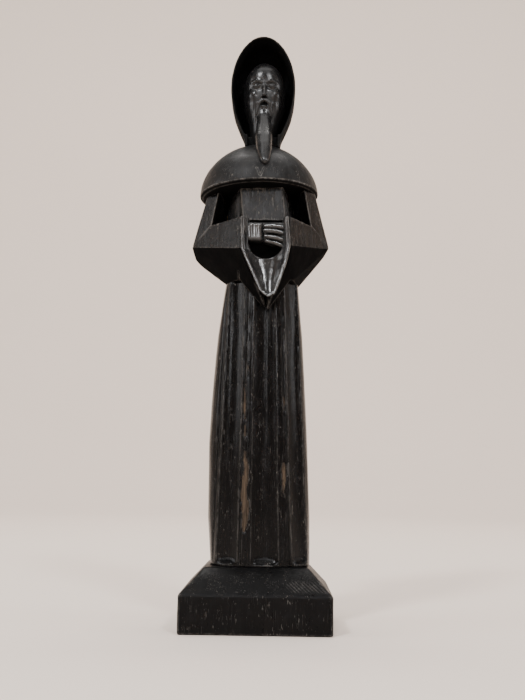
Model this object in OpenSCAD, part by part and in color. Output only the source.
// Hooded, bearded robed figure on a bevelled plinth, built up from
// separate blackened-wood pieces on glued dowels.
// Millimetres. +Z is up, the figure looks towards -Y, and the origin is the
// centre of the plinth's underside.

/* [Plinth] */
// Width of the plinth, left to right
plinth_w = 57; // [52:1:64]
// Depth of the plinth, front to back
plinth_d = 50; // [46:1:60]
// Height of the plinth's upright faces
plinth_face_h = 14.2; // [12:0.2:16]
// How far the bevel runs in from the upright faces
bevel_in = 5.8; // [4:0.2:6.4]
// How high the bevel climbs
bevel_up = 6.3; // [5:0.1:7]
// Rise of the nearly flat top from the bevel to the robe's foot
top_rise = 3; // [2:0.2:4]

/* [Robe] */
// Width of the robe at its foot
robe_foot_w = 39.2; // [38:0.2:40]
// Depth of the robe at its foot, front to back
robe_foot_d = 29; // [26:0.5:31]
// Width of the robe at the waist
waist_w = 29.4; // [28:0.2:32]
// Height above the floor of the joint between robe and torso
waist_z = 134.5; // [133:0.5:136]
// Depth of the flutes at the foot
flute_depth = 1.9; // [0.8:0.1:2.4]

/* [Upper body] */
// Half the distance across the elbows
elbow_x = 28.5; // [27:0.1:28.5]
// Height of the elbows above the floor
elbow_z = 150; // [149:0.5:151]
// Height of the upper edge of the sleeve mouth
mouth_top_z = 157.5; // [156:0.5:158]
// Height of the pointed lower end of the sleeve mouth
mouth_tip_z = 125; // [124.5:0.5:127]
// Height of the point where the sleeves' undersides meet on the robe
keel_z = 120.3; // [119:0.1:123]
// Wall thickness of the sleeve mouth
mouth_wall = 1.5; // [1.3:0.1:2]

/* [Cape and hood] */
// Outer radius of the domed cape
cape_r = 24.6; // [24:0.1:25]
// Height of the cape's rim above the floor
cape_z = 171; // [170.5:0.5:172]
// Bevel round the lower edge of the cape
cape_bevel = 1.2; // [0.6:0.1:1.8]
// Tilt of the cape's rim, lower on the figure's right side
cape_tilt = 1.8; // [0:0.2:2.4]
// Height of the dome as a share of its radius
cape_rise = 0.92; // [0.9:0.01:1]
// Wall thickness of the hood
hood_wall = 1.5; // [1.2:0.1:2]
// How far the hood's straight sides stand forward of its round back
hood_front = 8; // [7.5:0.5:9]

/* [Joinery] */
// Radius of the dowels between plinth and robe
base_dowel_r = 3; // [2.5:0.25:3.5]
// Radius of the waist dowel
waist_dowel_r = 4; // [3.5:0.25:4.5]
// Radius of the neck dowel
neck_dowel_r = 3; // [2.5:0.25:3]
// Radius of the sleeve dowels
sleeve_dowel_r = 1.75; // [1.25:0.25:1.75]
// Radius of the pegs behind the hands
peg_r = 1; // [0.8:0.1:1.2]
// Glue gap all round a dowel
glue_gap = 0.05; // [0.03:0.01:0.1]

/* [Hidden] */
$fn = 64;
black_wood = [0.11, 0.10, 0.10];
worn_wood = [0.22, 0.18, 0.15];
raw_wood = [0.72, 0.56, 0.38];
steel = [0.62, 0.62, 0.64];
foot_z = plinth_face_h + bevel_up + top_rise;   // where the robe stands
cape_x = -1.2;                                  // the cape sits a little to one side
torso_front = -16.5;                            // the chest panel's face
seat_y = -15;                                   // back of the sleeve mouth
big = 200;

// ---------- shared shapes ----------

// A convex block through the given corner points.
module block(p) {
    hull() polyhedron(points = p, faces = [[for (i = [0 : len(p) - 1]) i]]);
}

module dowel(r, h) { cylinder(r = r, h = h); }
module dowel_hole(r, h) { translate([0, 0, -glue_gap]) cylinder(r = r + glue_gap, h = h + 2 * glue_gap); }

// Places children along X at a height and depth, running outwards from x0.
module sideways(side, x0, y, z) {
    translate([side * x0, y, z]) rotate([0, side * 90, 0]) children();
}

module base_dowel_places() {
    for (x = [-10, 10]) translate([x, 0, foot_z - 10]) children();
}

module sleeve_dowel_places() {
    for (s = [-1, 1]) {
        sideways(s, 4.6, 3, 150.5) children();
        sideways(s, 6, 7.9, 164.5) children();
    }
}

module peg_places() {
    for (x = [-3.6, 5.6]) translate([x, -18.5, 152.6]) rotate([-90, 0, 0]) children();
}

// ---------- plinth ----------

// Half outline of the plinth, used from the front and from the side.
function plinth_outline(w, run) = let (a = w / 2, b = a - bevel_in, c = b - run)
    [[-a, 0], [a, 0], [a, plinth_face_h], [b, plinth_face_h + bevel_up],
     [c, foot_z], [-c, foot_z], [-b, plinth_face_h + bevel_up], [-a, plinth_face_h]];

module plinth() {
    color(black_wood) difference() {
        intersection() {
            rotate([90, 0, 0]) linear_extrude(height = 2 * big, center = true)
                polygon(plinth_outline(plinth_w, 2.9));
            rotate([90, 0, 90]) linear_extrude(height = 2 * big, center = true)
                polygon(plinth_outline(plinth_d, 4.4));
        }
        base_dowel_places() dowel_hole(base_dowel_r, 20);
        // counterbore and clearance hole for the screw
        translate([0, 0, -1]) cylinder(r = 5, h = 6);
        translate([0, 0, -1]) cylinder(r = 2.3, h = 40);
    }
}

module base_screw() {
    color(steel) difference() {
        union() {
            translate([0, 0, 3]) cylinder(r = 4, h = 2);
            translate([0, 0, 4]) cylinder(r = 2, h = 33);
            translate([0, 0, 37]) cylinder(r1 = 2, r2 = 0.3, h = 3);
        }
        // driver slot
        translate([-5, -0.5, 2.5]) cube([10, 1, 1.4]);
    }
}

module base_dowels() {
    color(raw_wood) base_dowel_places() dowel(base_dowel_r, 20);
}

// ---------- robe ----------

// The robe's levels: share of the height, half width, half depth and how
// far the level sits to one side.
robe_levels = [
    [0.000, robe_foot_w / 2 - 0.2, robe_foot_d / 2,        1.1],
    [0.165, robe_foot_w / 2 + 0.4, robe_foot_d / 2 - 0.1,  0.4],
    [0.420, robe_foot_w / 2,       robe_foot_d / 2 - 0.5, -0.2],
    [0.550, 18.9,                  13.6,                  -0.2],
    [0.640, 18.3,                  13.3,                  -0.2],
    [0.725, 17.7,                  13.0,                  -0.1],
    [0.813, 17.0,                  12.7,                   0],
    [0.904, 15.9,                  12.2,                   0.2],
    [1.000, waist_w / 2,           11.6,                   0.5]
];
robe_sides = 88;
// A shallow scooped groove of half width w about x = c.
function scoop(x, c, w, d) = abs(x - c) < w ? d * (1 - pow((x - c) / w, 2)) : 0;
function sgn_pow(v, p) = sign(v) * pow(abs(v), p);
// A point of the robe's outline at height share t and angle a.
function robe_point(t, hw, hd, cx, a) =
    let (x = hw * sgn_pow(cos(a), 0.72), y = hd * sgn_pow(sin(a), 0.72),
         lean = 0.4 + 1.2 * (1 - t),
         d = flute_depth * (0.75 + 0.25 * (1 - t)),
         u = y < 0 ? x - lean : x,
         edge = (10.6 - 2.4 * t),
         g = scoop(u, 0, 4.0, d) + scoop(abs(u), (edge + hw - 0.6) / 2, (hw - 0.6 - edge) / 2, d * 0.8),
         s = min(1, abs(y) / 5))
    [x + cx, y - sign(y) * g * s, 0];
function robe_ring(l) = [for (i = [0 : robe_sides - 1])
    robe_point(l[0], l[1], l[2], l[3], 360 * i / robe_sides) + [0, 0, foot_z + l[0] * (waist_z - foot_z)]];

module robe_body() {
    n = robe_sides;
    k = len(robe_levels);
    pts = [for (l = robe_levels) each robe_ring(l)];
    sides = [for (j = [0 : k - 2], i = [0 : n - 1])
        [j * n + i, (j + 1) * n + i, (j + 1) * n + (i + 1) % n, j * n + (i + 1) % n]];
    polyhedron(points = pts,
        faces = concat([[for (i = [0 : n - 1]) i]],
                       [[for (i = [0 : n - 1]) (k - 1) * n + (n - 1 - i)]], sides),
        convexity = 6);
}

module robe() {
    color(black_wood) difference() {
        robe_body();
        base_dowel_places() dowel_hole(base_dowel_r, 20);
        translate([0, 0, foot_z - 1]) cylinder(r = 2 + glue_gap, h = 40.2 - foot_z + 1);
        translate([0, 0, waist_z - 12]) dowel_hole(waist_dowel_r, 24);
    }
}

module waist_dowel() {
    color(raw_wood) translate([0, 0, waist_z - 12]) dowel(waist_dowel_r, 24);
}

// ---------- torso ----------

// The torso stands on the robe and ends at the cape's flat underside. Above
// the sleeves its flat chest panel narrows forwards, which makes the deep notches.
module torso_body() {
    intersection() {
        union() {
            // the lower part, set back at the front where the sleeves come down
            translate([-8.6, 0, 0]) rotate([90, 0, 90]) linear_extrude(height = 18.2)
                polygon([[seat_y + 2.8, waist_z], [11.2, waist_z], [11.2, mouth_top_z],
                         [seat_y, mouth_top_z], [seat_y, waist_z + 3]]);
            translate([0, 0, mouth_top_z]) linear_extrude(height = 40)
                polygon([[-7.8, torso_front], [9.0, torso_front], [13.4, 5], [13.4, 11.2], [-14.6, 11.2], [-14.6, 5]]);
        }
        below_cape();
    }
}

module torso() {
    color(black_wood) difference() {
        torso_body();
        translate([0, 0, waist_z - 12]) dowel_hole(waist_dowel_r, 24);
        neck_place() dowel_hole(neck_dowel_r, 42);
        sleeve_dowel_places() dowel_hole(sleeve_dowel_r, 12);
        mouth_dowel_place() dowel_hole(1.5, 8.5);
        peg_places() dowel_hole(peg_r, 8);
    }
}

// ---------- sleeves ----------

// One sleeve: an upper arm from under the cape to the elbow, and a forearm
// with a flat front and a flat underside. The upper arm's front and the
// forearm's front are one plane, and the underside is one steep plane that runs
// back to a point on the robe's front. mx is the sleeve mouth's edge, bz the
// height of the underside's front edge there, nx the bottom of the notch beside
// the chest, [ex, ey, ez] the elbow, ay and by set the upper arm's front plane,
// and low holds the lower corners.
module sleeve_body(s, mx, bz, nx, ex, ey, ez, ay, by, low) {
    // upper arm, ending at the cape's underside
    intersection() {
        block([[s * 20.8, ay, 175], [s * 16.3, by, 175], [s * 20, -9.8, 157.4],
               [s * nx, 5, 157.4], [s * nx, 5, 175], [s * ex, ey, ez],
               [s * (ex - 1.4), 9, ez + 1], [s * 19.4, 10.6, 175],
               [s * nx, 11.2, 175], [s * nx, 11.2, 157.4]]);
        below_cape();
    }
    // forearm
    block(concat([[s * ex, ey, ez], [s * (ex - 1.4), 9, ez + 1],
           [s * 20, -9.8, 157.5], [mx, -22.6, mouth_top_z], [mx, -23.6, bz],
           [2.8, -12.4, keel_z], [s * 13, 10.2, 137],
           [s * 20, 10.6, 157.5], [0, 11.2, 157.5], [0, 10.2, 139],
           [0, -12, 157.5]], low));
}

module sleeve_cuts() {
    torso_body();
    // the sleeves rest on the robe's top and hang clear in front of it
    translate([-30, -12.4, waist_z - 40]) cube([60, 60, 40]);
    mouth_outer();
    sleeve_dowel_places() dowel_hole(sleeve_dowel_r, 12);
}

module left_sleeve() {
    color(black_wood) difference() {
        sleeve_body(-1, -7.5, 144.3, 14.6, elbow_x, -2, elbow_z, -7.6, -12.1,
            [[-17.4, -8.3, 141.8], [-7.6, -12, 132.9], [-27.3, 3, 145.8], [-25, 4, 143.5], [-14.6, 2, 135.4]]);
        sleeve_cuts();
        translate([2, -big / 2, 0]) cube(big);
    }
}

module right_sleeve() {
    color(black_wood) difference() {
        sleeve_body(1, 11.4, 146, 13.4, elbow_x - 0.5, 1.6, elbow_z + 1, -7.2, -13.7,
            [[13.4, -11, 134.6], [15.7, 2, 134.6], [25.6, 4, 147.2]]);
        sleeve_cuts();
        translate([2 - big, -big / 2, 0]) cube(big);
    }
}

module sleeve_dowels() {
    color(raw_wood) sleeve_dowel_places() dowel(sleeve_dowel_r, 12);
}

// ---------- sleeve mouth and hands ----------

// The joined sleeve ends: a shield-shaped rim that hangs to a point.
module mouth_outer() {
    t = mouth_tip_z;
    block([[-7.8, -23, mouth_top_z], [10.8, -23, mouth_top_z], [11.7, -24, 145.6], [10.2, -24.2, 138],
           [6, -24.4, t + 1.1], [3, -24.4, t], [-0.1, -24.4, t + 2.4], [-7.5, -24, 144.2],
           [-7.8, seat_y, mouth_top_z], [10.8, seat_y, mouth_top_z], [11.7, seat_y, 145.6], [-7.5, seat_y, 144.4],
           [-3, seat_y, 136], [9, seat_y, 136], [3.5, -20, t + 1]]);
}
module mouth_inner() {
    w = mouth_wall;
    // shallow trough, from the rim down to the tip
    block([[-7 + w, -26, 144.6], [11.2 - w, -26, 145.6], [9.7 - w, -26, 138],
           [5.3, -26, 128.2], [3.2, -26, 127.2], [1.4, -26, 128.6],
           [-2.5, -21, 143], [8.5, -21, 143], [3.4, -23.2, 130.5]]);
    // deep hollow behind the hands, open to the front and the top
    block([[-7.8 + w, -26, 160], [10.8 - w, -26, 160], [11.4 - w, -26, 145], [-7.2 + w, -26, 145],
           [-7.3 + w, seat_y - 0.01, 160], [10.4 - w, seat_y - 0.01, 160],
           [10.6 - w, seat_y - 1, 145], [-6.4 + w, seat_y - 1, 145],
           [-1.2, seat_y - 2, 141.4], [5.6, seat_y - 2, 141.4],
           [-1.4, -26, 141.8], [5.8, -26, 141.8]]);
}
module sleeve_mouth() {
    color(worn_wood) difference() {
        mouth_outer();
        mouth_inner();
        mouth_dowel_place() dowel_hole(1.5, 8.5);
    }
}

module mouth_dowel_place() { translate([3.5, -16.7, 139.2]) rotate([-90, 0, 0]) children(); }

module mouth_dowel() {
    color(raw_wood) mouth_dowel_place() dowel(1.5, 8.5);
}

// A finger lying along X.
module finger(x0, x1, y, z, r) {
    hull() {
        translate([x0, y, z]) sphere(r = r, $fn = 16);
        translate([x1 - r, y, z]) sphere(r = r, $fn = 16);
    }
}

module left_hand() {
    color(worn_wood) difference() {
        intersection() {
            translate([-5.7, -20.6, 147.9]) cube([6.2, 20.6 + seat_y, 8.4]);
            translate([-2.6, -14.2, 100]) cylinder(r = 6.3, h = 100, $fn = 48);
        }
        peg_places() dowel_hole(peg_r, 8);
    }
}

module right_hand() {
    color(worn_wood) difference() {
        union() {
            translate([0.6, -18.9, 147.3]) cube([8.8, 18.9 + seat_y, 9.6]);
            for (i = [0 : 3]) finger(1.2 - 0.25 * i, 9.2, -20, 155.6 - 2.35 * i - 0.2, 1.25);
        }
        peg_places() dowel_hole(peg_r, 8);
    }
}

module hand_pegs() {
    color(raw_wood) peg_places() dowel(peg_r, 8);
}

// ---------- cape ----------

// The dome of the cape, taken in by o all over.
module dome(o = 0) {
    r = cape_r - o;
    n = 24;
    translate([cape_x, 0, cape_z]) rotate_extrude($fn = 96)
        polygon(concat([[0, -8], [r, -8]],
            [for (i = [0 : n]) let (a = 90 * i / n) [max(0, r * pow(cos(a), 1.12)), r * cape_rise * sin(a)]]));
}

// Places children at the cape's rim, tilted with it.
module at_rim() { translate([cape_x, 0, cape_z]) rotate([0, -cape_tilt, 0]) children(); }
// Everything lower than the cape's flat underside.
module below_cape() { at_rim() translate([0, 0, -big / 2]) cube(big, center = true); }

module cape() {
    color(black_wood) difference() {
        dome();
        below_cape();
        // bevel round the lower edge
        at_rim() rotate_extrude($fn = 96)
            polygon([[cape_r - cape_bevel, -0.01], [cape_r + 4, -0.01], [cape_r + 4, cape_bevel + 4]]);
        neck_place() cylinder(r = neck_dowel_r + glue_gap, h = 60);
    }
}

// ---------- hood and head ----------

module neck_place() { translate([0, 0, 166]) children(); }

module neck_dowel() {
    color(raw_wood) neck_place() dowel(neck_dowel_r, 42);
}

// Half of the hood's flame-shaped outline; o is how far it is taken in.
hood_half = [[7.2, 184], [7.2, 191], [7.6, 195], [9.8, 200], [11.7, 205], [12.9, 210.3],
             [13.4, 215.5], [13.2, 220.8], [12.1, 226.1], [11.2, 228.7], [10, 231.4],
             [8.4, 234], [6.2, 236.6], [3.2, 238.6], [0.6, 239.3]];
hood_turns = 28;
// One level of the hood: straight sides in front, a half round behind that
// drops a little towards the back.
function hood_ring(r, z, front) = concat(
    [[-r, -front, z]],
    [for (i = [0 : hood_turns]) let (a = 180 * i / hood_turns)
        [-r * cos(a) * 0.97, r * sin(a) * 0.93, z - (z > 200 ? (z - 200) * 0.045 * (0.35 + sin(a)) : 0)]],
    [[r, -front, z]]);
module hood_solid(o, front) {
    n = hood_turns + 3;
    k = len(hood_half);
    pts = [for (p = hood_half) each hood_ring(max(0.3, p[0] - o), p[1] - (p[1] > 228 ? o : 0), front)];
    polyhedron(points = pts, convexity = 6, faces = concat(
        [[for (i = [0 : n - 1]) n - 1 - i]],
        [[for (i = [0 : n - 1]) (k - 1) * n + i]],
        [for (j = [0 : k - 2], i = [0 : n - 1]) each
            [[j * n + i, j * n + (i + 1) % n, (j + 1) * n + (i + 1) % n],
             [j * n + i, (j + 1) * n + (i + 1) % n, (j + 1) * n + i]]]));
}

module hood() {
    color(black_wood) difference() {
        hood_solid(0, hood_front);
        // hollow for the head, above a solid floor
        difference() {
            hood_solid(hood_wall, hood_front + 2);
            translate([-30, -40, 150]) cube([60, 80, 46.6]);
        }
        dome();
        // the floor is cut back at the front, where the beard comes down
        translate([-6.2, -30, 188]) cube([12.4, 25.4, 8.7]);
        neck_place() dowel_hole(neck_dowel_r, 42);
    }
}

// A long narrow head with a plain face, and a beard that lies on the cape.
module head() {
    color(black_wood) difference() {
        union() {
            hull() {
                translate([0.2, -1.6, 222]) sphere(r = 7.5, $fn = 24);
                translate([0.2, -1.6, 214.5]) sphere(r = 8.1, $fn = 24);
                translate([0.2, -2.6, 203.5]) sphere(r = 5.6, $fn = 24);
            }
            translate([0.2, -0.9, 196.6]) cylinder(r = 4.9, h = 12);
            hull() {
                translate([0.4, -6.2, 204.5]) sphere(r = 4.1, $fn = 20);
                translate([0.7, -10.2, 197]) sphere(r = 3.9, $fn = 20);
            }
            hull() {
                translate([0.7, -10.2, 197]) sphere(r = 3.9, $fn = 20);
                translate([1.1, -17.8, 188]) sphere(r = 2.9, $fn = 20);
            }
            hull() {
                translate([1.1, -17.8, 188]) sphere(r = 2.9, $fn = 20);
                translate([1.5, -23.3, 179.0]) sphere(r = 1.5, $fn = 20);
            }
        }
        dome();
        neck_place() dowel_hole(neck_dowel_r, 42);
    }
}

plinth();
base_screw();
base_dowels();
robe();
waist_dowel();
torso();
left_sleeve();
right_sleeve();
sleeve_dowels();
sleeve_mouth();
mouth_dowel();
left_hand();
right_hand();
hand_pegs();
cape();
hood();
neck_dowel();
head();
